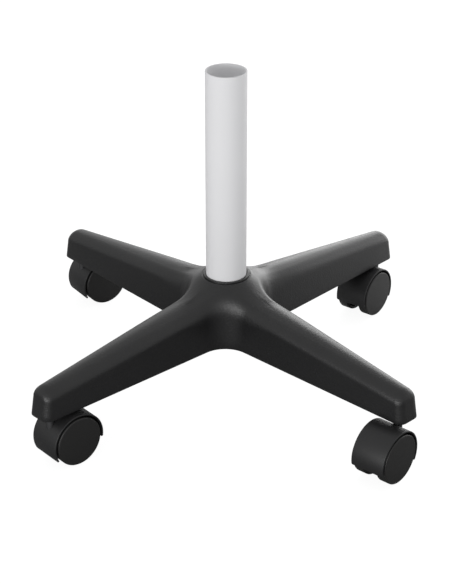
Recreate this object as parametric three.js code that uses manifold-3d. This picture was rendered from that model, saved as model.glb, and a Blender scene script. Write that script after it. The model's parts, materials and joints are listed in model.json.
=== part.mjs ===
// Rolling stand of a hood hair dryer: a moulded four-leg base on twin-wheel castors,
// with the lower column tube clamped into its hub. Millimetres, +Z up. The origin is on
// the floor under the column's axis, and the legs lie along +X, +Y, -X and -Y.
import * as THREE from 'three';
import { mergeVertices } from 'three/addons/utils/BufferGeometryUtils.js';
import Module from 'manifold-3d';

const wasm = await Module();
wasm.setup();

// ---------------------------------------------------------------- sizes
// clearances between neighbouring pieces
const SEAT_GAP = 0.3;

// column tube
const COLUMN_OD = 41;
const COLUMN_WALL = 1.5;
const COLUMN_TOP_Z = 340;

// leg outline, measured at the lower edge of the moulding
const LEG_EDGE_Z = 57;
const LEG_REACH = 248.5;
const LEG_ROOT_HALF_WIDTH = 24.4;
const LEG_TIP_HALF_WIDTH = 13.8;
const LEG_TIP_CORNER_R = 8;
const LEG_TIP_CORNER_MIN_R = 0.5;
const LEG_FILLET_R = 27;

// leg heights and shell
const LEG_ROOT_TOP_Z = 109;
const LEG_TIP_TOP_Z = 85.2;
const LEG_DRAFT = 1;
const LEG_TIP_RAKE = 2;
const LEG_SHOULDER_R = 10;
const SHELL_WALL = 3;

// hub neck and column socket
const NECK_RISE = 12;
const NECK_LAND = 1;
const NECK_FLARE_R = 38.5;
const NECK_FLARE_DROP = 12;
const LIP_WIDTH = 2.8;
const LIP_HEIGHT = 1.5;
const SOCKET_WALL = 3.2;
const SOCKET_FLOOR_Z = 68;
const SOCKET_FLOOR_THICKNESS = 6;

// ribs under the moulding
const RIB_THICKNESS = 2.6;
const RIB_RECESS = 9;
const CROSS_RIBS_PER_LEG = 3;

// clamp: a threaded plug in the tube's foot, drawn down by one bolt from below
const PLUG_HEIGHT = 20;
const PLUG_CHAMFER = 1.5;
const BOLT_D = 10;
const BOLT_HEAD_FLATS = 17;
const BOLT_HEAD_HEIGHT = 6.5;
const BOLT_HEAD_SIDES = 6;
const BOLT_ENGAGEMENT = 16;
const WASHER_OD = 28;
const WASHER_THICKNESS = 2;
const LOCK_WASHER_OD = 18;
const LOCK_WASHER_THICKNESS = 2.2;
const LOCK_WASHER_SPLIT = 1.6;

// castor: plan position, wheel pair and hood
const STEM_INSET = 15;
const CASTOR_TRAIL = 20;
const WHEEL_D = 50;
const WHEEL_OUTER_FACE = 19.6;
const WHEEL_INNER_FACE = 7.8;
const WHEEL_RIM = 2.8;
const WHEEL_FACE_THICKNESS = 3.2;
const WHEEL_FACE_DOME = 0.5;
const WHEEL_EDGE_R = 1;
const WHEEL_HUB_R = 6;
const WHEEL_SPOKES = 5;
const SPOKE_THICKNESS = 1.8;
const HOOD_WHEEL_GAP = 1.3;
const HOOD_WALL = 2.2;
const HOOD_HALF_WIDTH = 17.8;
const HOOD_LEADING_LIP_DEG = 28;
const HOOD_TRAILING_LIP_DEG = 12;
const HOOD_CORE_HALF_WIDTH = 7.2;
const HOOD_WEB_THICKNESS = 3.6;
const AXLE_D = 6;
const AXLE_HALF_LENGTH = 15;
const AXLE_END_CHAMFER = 0.6;
const AXLE_BOSS_R = 6.5;

// castor stem, its socket sleeve and the two spring rings that hold it
const STEM_D = 8;
const STEM_SHOULDER_D = 8.8;
const STEM_BOSS_R = 6.8;
const STEM_BOSS_FOOT_Z = 27;
const STEM_GROOVE_DEPTH = 1.1;
const STEM_END_CHAMFER = 0.8;
const STEM_ROOF_THICKNESS = 8.6;
const STEM_TOP_CLEARANCE = 1;
const STEM_TAIL = 2;
const SLEEVE_OD = 14;
const SLEEVE_FLANGE_OD = 19;
const SLEEVE_FLANGE_THICKNESS = 1.6;
const SLEEVE_RECESS_DEPTH = 0.9;
const SLEEVE_BOSS_WALL = 2.6;
const GRIP_RING_HEIGHT = 4;
const GRIP_RING_THICKNESS = 1.3;
const GRIP_RING_DROP = 5;
const STEM_CLIP_THICKNESS = 1;
const STEM_CLIP_WIDTH = 2.6;
const RING_SPLIT_DEG = 40;

// Each castor stands as it last rolled: the direction from its axle to its stem, in degrees.
const CASTOR_HEADINGS_DEG = [95.5, 98.7, -99.4, -93];
const LEG_COUNT = CASTOR_HEADINGS_DEG.length;

// facets round a full turn
const WHEEL_FACETS = 24;
const TUBE_FACETS = 32;
const PIN_FACETS = 12;
const HOOD_FACETS = 12;
const ARC_STEPS = 4;
const SHOULDER_STEPS = 3;
const HIDDEN_SHOULDER_STEPS = 1;

// ---------------------------------------------------------------- materials
function finish(color, roughness, metalness) {
  return () => new THREE.MeshStandardMaterial({ color, roughness, metalness });
}
const blackMoulding = finish(0x232324, 0.55, 0);
const hoodMoulding = finish(0x262627, 0.42, 0);
const wheelMoulding = finish(0x202021, 0.48, 0);
const columnCoat = finish(0xd6d6d8, 0.4, 0.1);
const sleeveNylon = finish(0x3a3a3c, 0.5, 0);
const blackedSteel = finish(0x2b2b2d, 0.4, 0.7);
const zincSteel = finish(0xb8bbbe, 0.35, 0.9);
const springSteel = finish(0x6f7275, 0.35, 0.9);

// ---------------------------------------------------------------- solids
const WELD_DISTANCE = 1e-5;
const radians = THREE.MathUtils.degToRad;

function solid(geometry) {
  const bare = geometry.clone();
  bare.deleteAttribute('normal');
  bare.deleteAttribute('uv');
  const merged = mergeVertices(bare, WELD_DISTANCE);
  const vertProperties = new Float32Array(merged.attributes.position.array);
  const triVerts = new Uint32Array(merged.index.array);
  return new wasm.Manifold(new wasm.Mesh({ numProp: 3, vertProperties, triVerts }));
}

function union(solids) {
  return solids.reduce((sum, next) => sum.add(next));
}

function geometryOf(body) {
  const { vertProperties, triVerts } = body.getMesh();
  const geometry = new THREE.BufferGeometry();
  geometry.setAttribute('position', new THREE.BufferAttribute(vertProperties, 3));
  geometry.setIndex(new THREE.BufferAttribute(triVerts, 1));
  geometry.computeVertexNormals();
  return geometry;
}

// A solid of revolution about +Z from [radius, z] points that start and end on the axis
// or close on themselves, listed with the material on their left.
function revolve(profile, facets, turn = 0) {
  const points = profile.map(([r, z]) => new THREE.Vector2(r, z));
  const geometry = new THREE.LatheGeometry(points, facets, turn);
  return solid(geometry.rotateX(Math.PI / 2));
}

// A straight cylinder along +Z between two heights.
function rod(radius, low, high, facets) {
  return revolve([[0, low], [radius, low], [radius, high], [0, high]], facets);
}

// A plate along +Z between two heights, cut from a shape in the XY plane.
function plate(shape, low, high, curveSegments) {
  const options = { depth: high - low, bevelEnabled: false, curveSegments };
  return solid(new THREE.ExtrudeGeometry(shape, options).translate(0, 0, low));
}

// A box from its low corner to its high corner.
function block(low, high) {
  const size = high.map((value, axis) => value - low[axis]);
  const middle = high.map((value, axis) => (value + low[axis]) / 2);
  return solid(new THREE.BoxGeometry(...size).translate(...middle));
}

// A split ring about +Z: an arc of a flat ring, open over a gap that is centred on +X.
function splitRing(innerR, outerR, low, high, gapDeg) {
  const start = radians(gapDeg / 2);
  const end = 2 * Math.PI - start;
  const shape = new THREE.Shape();
  shape.absarc(0, 0, outerR, start, end, false);
  shape.absarc(0, 0, innerR, end, start, true);
  return plate(shape, low, high, PIN_FACETS / 2);
}

// A skin through rings of equally many points, closed by a flat cap at each end.
function loft(rings) {
  const count = rings[0].length;
  const positions = rings.flat().flatMap((point) => point.toArray());
  const index = [];
  for (let ring = 0; ring < rings.length - 1; ring += 1) {
    for (let i = 0; i < count; i += 1) {
      const a = ring * count + i;
      const b = ring * count + (i + 1) % count;
      index.push(a, b, b + count, a, b + count, a + count);
    }
  }
  const last = (rings.length - 1) * count;
  const flat = (ring) => ring.map((point) => new THREE.Vector2(point.x, point.y));
  for (const [a, b, c] of THREE.ShapeUtils.triangulateShape(flat(rings[0]), [])) {
    index.push(a, c, b);
  }
  for (const [a, b, c] of THREE.ShapeUtils.triangulateShape(flat(rings.at(-1)), [])) {
    index.push(last + a, last + b, last + c);
  }
  const geometry = new THREE.BufferGeometry();
  geometry.setAttribute('position', new THREE.Float32BufferAttribute(positions, 3));
  geometry.setIndex(index);
  return solid(geometry);
}

// ---------------------------------------------------------------- base moulding
const LEG_TAPER = (LEG_ROOT_HALF_WIDTH - LEG_TIP_HALF_WIDTH) / LEG_REACH;
const LEG_FALL = (LEG_ROOT_TOP_Z - LEG_TIP_TOP_Z) / LEG_REACH;
const SIDE_LENGTH = Math.hypot(1, LEG_TAPER);
const SIDE_ANGLE = Math.atan(LEG_TAPER);

function legTopZ(reach) {
  return LEG_ROOT_TOP_Z - LEG_FALL * reach;
}

function legHalfWidth(reach) {
  return LEG_ROOT_HALF_WIDTH - LEG_TAPER * reach;
}

// Points of one arc, from one angle to another, both ends included.
function arc(cx, cy, radius, from, to) {
  return Array.from({ length: ARC_STEPS + 1 }, (_, step) => {
    const angle = from + (to - from) * (step / ARC_STEPS);
    return [cx + radius * Math.cos(angle), cy + radius * Math.sin(angle)];
  });
}

// Plan outline of the leg along +X, drawn in by an inset: the fillet to the next leg, from
// the diagonal that the two legs share, the tapered side and the round corner of the tip.
// The rake draws the tip's end in further.
function legOutline(inset, rake) {
  const filletMiddle = (LEG_FILLET_R * SIDE_LENGTH + LEG_ROOT_HALF_WIDTH) / (1 + LEG_TAPER);
  const cornerR = Math.max(LEG_TIP_CORNER_R - inset, LEG_TIP_CORNER_MIN_R);
  const cornerX = LEG_REACH - rake - inset - cornerR;
  const cornerY = legHalfWidth(cornerX) - (inset + cornerR) * SIDE_LENGTH;
  const fillet = arc(
    filletMiddle, filletMiddle, LEG_FILLET_R + inset, 1.25 * Math.PI, 1.5 * Math.PI - SIDE_ANGLE,
  );
  fillet[0][1] = fillet[0][0];
  const corner = arc(cornerX, cornerY, cornerR, Math.PI / 2 - SIDE_ANGLE, 0);
  const side = [...fillet, ...corner];
  const mirrored = side.map(([x, y]) => [x, -y]);
  return [[0, 0], ...mirrored, ...side.reverse()];
}

// The form of one leg, offset inwards from the outside of the moulding: a drafted wall on
// the lower edge, a rounded shoulder and a top that falls evenly towards the tip.
function legForm(offset, footZ, steps) {
  const shoulderR = LEG_SHOULDER_R - offset;
  const rings = [legOutline(offset, 0).map(([x, y]) => new THREE.Vector3(x, y, footZ))];
  for (let step = 0; step <= steps; step += 1) {
    const angle = (Math.PI / 2) * (step / steps);
    const inset = offset + LEG_DRAFT + shoulderR * (1 - Math.cos(angle));
    const drop = offset + shoulderR * (1 - Math.sin(angle));
    const outline = legOutline(inset, LEG_TIP_RAKE);
    rings.push(outline.map(([x, y]) => new THREE.Vector3(x, y, legTopZ(x) - drop)));
  }
  return loft(rings);
}

// The same solid on all four legs. Quarter turns swap coordinates, so shared faces match.
function onEveryLeg(body) {
  const quarterTurn = (vertex) => {
    [vertex[0], vertex[1]] = [-vertex[1], vertex[0]];
  };
  const turned = [body];
  for (let leg = 1; leg < LEG_COUNT; leg += 1) {
    turned.push(turned.at(-1).warp(quarterTurn));
  }
  return union(turned);
}

const STEM_REACH = LEG_REACH - STEM_INSET;
const COLUMN_R = COLUMN_OD / 2;
const SOCKET_R = COLUMN_R + SEAT_GAP;
const SOCKET_OUTER_R = SOCKET_R + SOCKET_WALL;
const SOCKET_FOOT_Z = SOCKET_FLOOR_Z - SOCKET_FLOOR_THICKNESS;
const LIP_R = SOCKET_R + LIP_WIDTH;
const BOLT_HOLE_R = BOLT_D / 2 + SEAT_GAP;
const SLEEVE_R = SLEEVE_OD / 2;
const SLEEVE_BOSS_R = SLEEVE_R + SEAT_GAP + SLEEVE_BOSS_WALL;
const SLEEVE_BOSS_FOOT_Z = LEG_EDGE_Z + SLEEVE_FLANGE_THICKNESS;
const SLEEVE_TOP_Z = legTopZ(STEM_REACH) - STEM_ROOF_THICKNESS;
const SLEEVE_POCKET_TOP_Z = SLEEVE_TOP_Z + SEAT_GAP;
const STEM_TOP_Z = SLEEVE_TOP_Z - STEM_TOP_CLEARANCE;
const NECK_TOP_Z = LEG_ROOT_TOP_Z + NECK_RISE;
const NECK_FLARE_Z = LEG_ROOT_TOP_Z - NECK_FLARE_DROP;

// The form of the neck, offset inwards from the outside of the moulding: it rises out of
// the legs in a hollow curve.
function neckForm(offset) {
  const landR = SOCKET_OUTER_R + NECK_LAND;
  const flare = new THREE.QuadraticBezierCurve(
    new THREE.Vector2(NECK_FLARE_R - offset, NECK_FLARE_Z - offset),
    new THREE.Vector2(landR + LIP_WIDTH - offset, legTopZ(NECK_FLARE_R) - offset),
    new THREE.Vector2(landR - offset, NECK_TOP_Z - offset),
  );
  const flarePoints = flare.getPoints(ARC_STEPS).map((point) => point.toArray());
  return revolve([
    [0, NECK_FLARE_Z - offset],
    ...flarePoints,
    [0, NECK_TOP_Z - offset],
  ], TUBE_FACETS);
}

// The socket that the column stands in, and the raised lip that closes round the column.
function socket() {
  return revolve([
    [0, SOCKET_FOOT_Z],
    [SOCKET_OUTER_R, SOCKET_FOOT_Z],
    [SOCKET_OUTER_R, NECK_TOP_Z],
    [LIP_R, NECK_TOP_Z],
    [LIP_R, NECK_TOP_Z + LIP_HEIGHT],
    [0, NECK_TOP_Z + LIP_HEIGHT],
  ], TUBE_FACETS);
}

// One leg's inner webs: a rib down its middle, cross ribs and the castor's boss.
function legRibs() {
  const footZ = LEG_EDGE_Z + RIB_RECESS;
  const half = RIB_THICKNESS / 2;
  const webs = [block([SOCKET_R, -half, footZ], [STEM_REACH, half, NECK_TOP_Z])];
  const first = SOCKET_OUTER_R + LEG_FILLET_R;
  const pitch = (STEM_REACH - SLEEVE_BOSS_R - first) / CROSS_RIBS_PER_LEG;
  for (let rib = 0; rib < CROSS_RIBS_PER_LEG; rib += 1) {
    const x = first + pitch * rib;
    const reach = legHalfWidth(x);
    webs.push(block([x - half, -reach, footZ], [x + half, reach, LEG_ROOT_TOP_Z]));
  }
  const boss = rod(SLEEVE_BOSS_R, SLEEVE_BOSS_FOOT_Z, LEG_ROOT_TOP_Z, PIN_FACETS);
  webs.push(boss.translate(STEM_REACH, 0, 0));
  return union(webs);
}

function baseMoulding() {
  const legs = onEveryLeg(legForm(0, LEG_EDGE_Z, SHOULDER_STEPS));
  const legHollows = legForm(SHELL_WALL, LEG_EDGE_Z - SHELL_WALL, HIDDEN_SHOULDER_STEPS);
  const hollow = onEveryLeg(legHollows).add(neckForm(SHELL_WALL));
  const withinWall = legForm(SHELL_WALL / 2, LEG_EDGE_Z, HIDDEN_SHOULDER_STEPS)
    .add(neckForm(SHELL_WALL / 2));
  const inside = onEveryLeg(legRibs().intersect(withinWall));
  const columnBore = rod(SOCKET_R, SOCKET_FLOOR_Z, COLUMN_TOP_Z, TUBE_FACETS);
  const boltHole = rod(BOLT_HOLE_R, 0, COLUMN_TOP_Z, PIN_FACETS);
  const pocket = rod(SLEEVE_R + SEAT_GAP, LEG_EDGE_Z, SLEEVE_POCKET_TOP_Z, PIN_FACETS);
  return legs
    .add(neckForm(0))
    .subtract(hollow)
    .add(socket())
    .add(inside)
    .subtract(columnBore)
    .subtract(boltHole)
    .subtract(onEveryLeg(pocket.translate(STEM_REACH, 0, 0)));
}

// ---------------------------------------------------------------- column and clamp
const COLUMN_BORE_R = COLUMN_R - COLUMN_WALL;
const COLUMN_FOOT_Z = SOCKET_FLOOR_Z + SEAT_GAP;

function columnTube() {
  return revolve([
    [COLUMN_BORE_R, COLUMN_FOOT_Z],
    [COLUMN_R, COLUMN_FOOT_Z],
    [COLUMN_R, COLUMN_TOP_Z],
    [COLUMN_BORE_R, COLUMN_TOP_Z],
    [COLUMN_BORE_R, COLUMN_FOOT_Z],
  ], TUBE_FACETS);
}

function columnPlug() {
  const plugR = COLUMN_BORE_R - SEAT_GAP;
  const topZ = COLUMN_FOOT_Z + PLUG_HEIGHT;
  return revolve([
    [BOLT_HOLE_R, COLUMN_FOOT_Z],
    [plugR, COLUMN_FOOT_Z],
    [plugR, topZ - PLUG_CHAMFER],
    [plugR - PLUG_CHAMFER, topZ],
    [BOLT_HOLE_R, topZ],
    [BOLT_HOLE_R, COLUMN_FOOT_Z],
  ], TUBE_FACETS);
}

const WASHER_TOP_Z = SOCKET_FOOT_Z - SEAT_GAP;
const LOCK_WASHER_TOP_Z = WASHER_TOP_Z - WASHER_THICKNESS - SEAT_GAP;
const BOLT_SEAT_Z = LOCK_WASHER_TOP_Z - LOCK_WASHER_THICKNESS - SEAT_GAP;

function flatWasher() {
  const lowZ = WASHER_TOP_Z - WASHER_THICKNESS;
  return revolve([
    [BOLT_HOLE_R, lowZ],
    [WASHER_OD / 2, lowZ],
    [WASHER_OD / 2, WASHER_TOP_Z],
    [BOLT_HOLE_R, WASHER_TOP_Z],
    [BOLT_HOLE_R, lowZ],
  ], PIN_FACETS);
}

function lockWasher() {
  const outerR = LOCK_WASHER_OD / 2;
  const gapDeg = THREE.MathUtils.radToDeg(LOCK_WASHER_SPLIT / outerR);
  const lowZ = LOCK_WASHER_TOP_Z - LOCK_WASHER_THICKNESS;
  return splitRing(BOLT_HOLE_R, outerR, lowZ, LOCK_WASHER_TOP_Z, gapDeg);
}

function clampBolt() {
  const headR = BOLT_HEAD_FLATS / 2 / Math.cos(Math.PI / BOLT_HEAD_SIDES);
  const head = rod(headR, BOLT_SEAT_Z - BOLT_HEAD_HEIGHT, BOLT_SEAT_Z, BOLT_HEAD_SIDES);
  const shankTop = COLUMN_FOOT_Z + BOLT_ENGAGEMENT;
  const shank = rod(BOLT_D / 2, BOLT_SEAT_Z - BOLT_HEAD_HEIGHT / 2, shankTop, PIN_FACETS);
  return head.add(shank);
}

// ---------------------------------------------------------------- castor
// A castor is drawn with its axle along Y above the origin and its stem on the +X side.
const WHEEL_R = WHEEL_D / 2;
const TREAD_R = WHEEL_R / Math.cos(Math.PI / WHEEL_FACETS);
const HOOD_INNER_R = TREAD_R + HOOD_WHEEL_GAP;
const HOOD_OUTER_R = HOOD_INNER_R + HOOD_WALL;
const AXLE_Z = WHEEL_R;
const AXLE_R = AXLE_D / 2;
const STEM_R = STEM_D / 2;
const STEM_GROOVE_R = STEM_R - STEM_GROOVE_DEPTH;
const STEM_SHOULDER_R = STEM_SHOULDER_D / 2;
const STEM_BORE_R = STEM_R + SEAT_GAP;
const STEM_CLIP_TOP_Z = STEM_BOSS_FOOT_Z - SEAT_GAP;
const STEM_CLIP_FOOT_Z = STEM_CLIP_TOP_Z - STEM_CLIP_THICKNESS;
const STEM_FOOT_Z = STEM_CLIP_FOOT_Z - SEAT_GAP - STEM_TAIL;
const STEM_SEAT_Z = LEG_EDGE_Z - SEAT_GAP;
const GRIP_RING_TOP_Z = STEM_TOP_Z - GRIP_RING_DROP;
const GRIP_RING_FOOT_Z = GRIP_RING_TOP_Z - GRIP_RING_HEIGHT;
const GRIP_RING_INNER_R = STEM_GROOVE_R + SEAT_GAP;

// The hood's surface is lowest where the stem's shoulder is furthest from the axle.
const SHOULDER_FAR_X = CASTOR_TRAIL + STEM_SHOULDER_R;
const SHOULDER_NEAR_X = CASTOR_TRAIL - STEM_SHOULDER_R;
const SHOULDER_FOOT_Z = AXLE_Z + Math.sqrt(HOOD_OUTER_R ** 2 - SHOULDER_FAR_X ** 2) + SEAT_GAP;
const SHOULDER_SPOT_Z = AXLE_Z + Math.sqrt(HOOD_OUTER_R ** 2 - SHOULDER_NEAR_X ** 2);

// Turns a solid drawn about +Z so that it lies along Y at the height of the axle.
function alongAxle(body) {
  return body.rotate([90, 0, 0]).translate(0, 0, AXLE_Z);
}

// One wheel on the -Y side: a closed, slightly domed face, and a hub and spokes inside it.
// A flat of its tread rests on the floor.
function wheel() {
  const boreR = AXLE_R + SEAT_GAP;
  const rimInnerR = TREAD_R - WHEEL_RIM;
  const faceBackY = WHEEL_OUTER_FACE - WHEEL_FACE_THICKNESS;
  const boreEndY = AXLE_HALF_LENGTH + SEAT_GAP;
  const body = revolve([
    [0, boreEndY],
    [boreR, boreEndY],
    [boreR, WHEEL_INNER_FACE],
    [WHEEL_HUB_R, WHEEL_INNER_FACE],
    [WHEEL_HUB_R, faceBackY],
    [rimInnerR, faceBackY],
    [rimInnerR, WHEEL_INNER_FACE],
    [TREAD_R, WHEEL_INNER_FACE],
    [TREAD_R, WHEEL_OUTER_FACE - WHEEL_FACE_DOME - WHEEL_EDGE_R],
    [TREAD_R - WHEEL_EDGE_R, WHEEL_OUTER_FACE - WHEEL_FACE_DOME],
    [0, WHEEL_OUTER_FACE],
  ], WHEEL_FACETS, Math.PI / WHEEL_FACETS);
  const half = SPOKE_THICKNESS / 2;
  const spokeFoot = WHEEL_INNER_FACE + SPOKE_THICKNESS;
  const spokeEnd = [rimInnerR + half, half, faceBackY + half];
  const spoke = block([WHEEL_HUB_R - half, -half, spokeFoot], spokeEnd);
  const spokes = [];
  for (let i = 0; i < WHEEL_SPOKES; i += 1) {
    spokes.push(spoke.rotate([0, 0, (360 / WHEEL_SPOKES) * i]));
  }
  return alongAxle(union([body, ...spokes]));
}

// The hood wraps over both wheels from its trailing lip to the lip below the stem. Between
// the wheels a web joins it to the axle's boss and the stem's boss.
function hood() {
  const from = -radians(HOOD_LEADING_LIP_DEG);
  const to = Math.PI + radians(HOOD_TRAILING_LIP_DEG);
  const shellShape = new THREE.Shape();
  shellShape.absarc(0, 0, HOOD_OUTER_R, from, to, false);
  shellShape.absarc(0, 0, HOOD_INNER_R, to, from, true);
  const shell = plate(shellShape, -HOOD_HALF_WIDTH, HOOD_HALF_WIDTH, HOOD_FACETS);
  const middleR = (HOOD_OUTER_R + HOOD_INNER_R) / 2;
  const webShape = new THREE.Shape();
  webShape.absarc(0, 0, middleR, from, to, false);
  webShape.lineTo(0, -AXLE_BOSS_R);
  const web = plate(webShape, -HOOD_WEB_THICKNESS / 2, HOOD_WEB_THICKNESS / 2, HOOD_FACETS);
  const clipRoom = rod(STEM_BOSS_R, 0, STEM_BOSS_FOOT_Z, PIN_FACETS)
    .translate(CASTOR_TRAIL, 0, 0);
  const axleBoss = rod(AXLE_BOSS_R, -HOOD_CORE_HALF_WIDTH, HOOD_CORE_HALF_WIDTH, PIN_FACETS);
  const within = rod(middleR, -HOOD_HALF_WIDTH, HOOD_HALF_WIDTH, WHEEL_FACETS * 2);
  const stemBoss = rod(STEM_BOSS_R, STEM_BOSS_FOOT_Z, AXLE_Z + HOOD_OUTER_R, PIN_FACETS)
    .translate(CASTOR_TRAIL, 0, 0)
    .intersect(alongAxle(within));
  const axleBore = rod(AXLE_R + SEAT_GAP, -HOOD_HALF_WIDTH, HOOD_HALF_WIDTH, PIN_FACETS);
  const stemBore = rod(STEM_BORE_R, 0, LEG_EDGE_Z, PIN_FACETS);
  const spotR = STEM_SHOULDER_R + SEAT_GAP;
  const spot = rod(spotR, SHOULDER_FOOT_Z - SEAT_GAP, SHOULDER_SPOT_Z, PIN_FACETS);
  return alongAxle(web)
    .subtract(clipRoom)
    .add(alongAxle(shell.add(axleBoss)))
    .subtract(alongAxle(axleBore))
    .add(stemBoss)
    .subtract(stemBore.translate(CASTOR_TRAIL, 0, 0))
    .subtract(spot.translate(CASTOR_TRAIL, 0, 0));
}

function axle() {
  const chamferedR = AXLE_R - AXLE_END_CHAMFER;
  const shoulder = AXLE_HALF_LENGTH - AXLE_END_CHAMFER;
  return alongAxle(revolve([
    [0, -AXLE_HALF_LENGTH],
    [chamferedR, -AXLE_HALF_LENGTH],
    [AXLE_R, -shoulder],
    [AXLE_R, shoulder],
    [chamferedR, AXLE_HALF_LENGTH],
    [0, AXLE_HALF_LENGTH],
  ], PIN_FACETS));
}

// The stem, drawn about its own axis: a journal in the hood, a shoulder under the leg and a
// shank in the sleeve, with a groove for each spring ring.
function stem() {
  return revolve([
    [0, STEM_FOOT_Z],
    [STEM_R - STEM_END_CHAMFER, STEM_FOOT_Z],
    [STEM_R, STEM_FOOT_Z + STEM_END_CHAMFER],
    [STEM_R, STEM_CLIP_FOOT_Z - SEAT_GAP],
    [STEM_GROOVE_R, STEM_CLIP_FOOT_Z - SEAT_GAP],
    [STEM_GROOVE_R, STEM_CLIP_TOP_Z + SEAT_GAP],
    [STEM_R, STEM_CLIP_TOP_Z + SEAT_GAP],
    [STEM_R, SHOULDER_FOOT_Z],
    [STEM_SHOULDER_R, SHOULDER_FOOT_Z],
    [STEM_SHOULDER_R, STEM_SEAT_Z],
    [STEM_R, STEM_SEAT_Z],
    [STEM_R, GRIP_RING_FOOT_Z - SEAT_GAP],
    [STEM_GROOVE_R, GRIP_RING_FOOT_Z - SEAT_GAP],
    [STEM_GROOVE_R, GRIP_RING_TOP_Z + SEAT_GAP],
    [STEM_R, GRIP_RING_TOP_Z + SEAT_GAP],
    [STEM_R, STEM_TOP_Z - STEM_END_CHAMFER],
    [STEM_R - STEM_END_CHAMFER, STEM_TOP_Z],
    [0, STEM_TOP_Z],
  ], PIN_FACETS);
}

function gripRing() {
  const outerR = GRIP_RING_INNER_R + GRIP_RING_THICKNESS;
  return splitRing(GRIP_RING_INNER_R, outerR, GRIP_RING_FOOT_Z, GRIP_RING_TOP_Z, RING_SPLIT_DEG);
}

function stemClip() {
  const innerR = STEM_GROOVE_R + SEAT_GAP;
  const outerR = innerR + STEM_CLIP_WIDTH;
  return splitRing(innerR, outerR, STEM_CLIP_FOOT_Z, STEM_CLIP_TOP_Z, RING_SPLIT_DEG);
}

// The flanged sleeve that lines the leg's socket, with a recess for the grip ring.
function socketSleeve() {
  const recessR = GRIP_RING_INNER_R + GRIP_RING_THICKNESS + SEAT_GAP;
  const flangeTopZ = SLEEVE_BOSS_FOOT_Z - SEAT_GAP;
  return revolve([
    [STEM_BORE_R, LEG_EDGE_Z],
    [SLEEVE_FLANGE_OD / 2, LEG_EDGE_Z],
    [SLEEVE_FLANGE_OD / 2, flangeTopZ],
    [SLEEVE_R, flangeTopZ],
    [SLEEVE_R, SLEEVE_TOP_Z],
    [STEM_BORE_R, SLEEVE_TOP_Z],
    [STEM_BORE_R, GRIP_RING_TOP_Z + SLEEVE_RECESS_DEPTH],
    [recessR, GRIP_RING_TOP_Z + SEAT_GAP],
    [recessR, GRIP_RING_FOOT_Z - SEAT_GAP],
    [STEM_BORE_R, GRIP_RING_FOOT_Z - SLEEVE_RECESS_DEPTH],
    [STEM_BORE_R, LEG_EDGE_Z],
  ], PIN_FACETS);
}

// ---------------------------------------------------------------- assembly
function piece(name, body, material) {
  const mesh = new THREE.Mesh(geometryOf(body), material());
  mesh.name = name;
  return mesh;
}

// One castor in place under its leg. Its stem, rings and sleeve stay with the base, and the
// rest turns about the stem.
function castor(number, headingDeg) {
  const legAngle = (2 * Math.PI * (number - 1)) / LEG_COUNT;
  const name = (part) => `castor_${number}_${part}`;
  const still = new THREE.Group();
  still.position.set(STEM_REACH * Math.cos(legAngle), STEM_REACH * Math.sin(legAngle), 0);
  still.add(piece(name('sleeve'), socketSleeve(), sleeveNylon));
  still.add(piece(name('stem'), stem(), blackedSteel));
  still.add(piece(name('grip_ring'), gripRing(), springSteel));
  still.add(piece(name('stem_clip'), stemClip(), springSteel));
  const swivel = new THREE.Group();
  swivel.rotation.z = radians(headingDeg);
  still.add(swivel);
  const turning = new THREE.Group();
  turning.position.x = -CASTOR_TRAIL;
  swivel.add(turning);
  turning.add(piece(name('hood'), hood(), hoodMoulding));
  turning.add(piece(name('axle'), axle(), zincSteel));
  turning.add(piece(name('wheel_right'), wheel(), wheelMoulding));
  turning.add(piece(name('wheel_left'), wheel().mirror([0, 1, 0]), wheelMoulding));
  return still;
}

const stand = new THREE.Group();
stand.add(piece('base', baseMoulding(), blackMoulding));
stand.add(piece('column_tube', columnTube(), columnCoat));
stand.add(piece('column_plug', columnPlug(), zincSteel));
stand.add(piece('flat_washer', flatWasher(), zincSteel));
stand.add(piece('lock_washer', lockWasher(), springSteel));
stand.add(piece('clamp_bolt', clampBolt(), zincSteel));
CASTOR_HEADINGS_DEG.forEach((heading, index) => stand.add(castor(index + 1, heading)));

export default stand;
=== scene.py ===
"""Rolling stand base: the finished visual model of a four-leg stand on twin-wheel castors."""

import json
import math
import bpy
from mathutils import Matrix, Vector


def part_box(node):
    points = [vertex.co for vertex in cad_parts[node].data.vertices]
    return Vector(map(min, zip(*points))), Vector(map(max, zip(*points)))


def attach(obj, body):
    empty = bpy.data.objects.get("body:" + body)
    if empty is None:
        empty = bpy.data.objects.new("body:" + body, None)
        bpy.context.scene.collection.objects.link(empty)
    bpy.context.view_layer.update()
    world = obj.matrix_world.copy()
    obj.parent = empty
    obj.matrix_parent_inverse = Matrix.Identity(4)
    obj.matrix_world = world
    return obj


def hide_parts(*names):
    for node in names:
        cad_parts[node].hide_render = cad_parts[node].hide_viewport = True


bl_info = {
    "name": "Rolling Stand Base",
    "version": (1, 0, 0),
    "blender": (4, 5, 0),
    "location": "View3D > Sidebar > Stand",
    "description": "Builds the moulded base, the column and the castors of a rolling stand",
    "category": "Object",
}

import bmesh
import bpy
from bpy.props import FloatProperty, FloatVectorProperty, IntProperty, PointerProperty
from mathutils import Matrix, Vector

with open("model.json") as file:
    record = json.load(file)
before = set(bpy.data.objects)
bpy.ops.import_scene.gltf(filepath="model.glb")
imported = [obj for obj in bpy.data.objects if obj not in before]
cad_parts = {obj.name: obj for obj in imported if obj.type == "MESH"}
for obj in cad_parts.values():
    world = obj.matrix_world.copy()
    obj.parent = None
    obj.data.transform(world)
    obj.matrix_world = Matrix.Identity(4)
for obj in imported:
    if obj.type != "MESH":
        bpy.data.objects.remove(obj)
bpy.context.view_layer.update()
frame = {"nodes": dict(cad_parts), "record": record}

PICTURE_HEIGHT = 584
SENSOR_WIDTH = 36
LEG_COUNT = 4


def node_low(node):
    """The lowest corner of a CAD node's box."""
    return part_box(node)[0]


def node_high(node):
    """The highest corner of a CAD node's box."""
    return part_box(node)[1]


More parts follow.
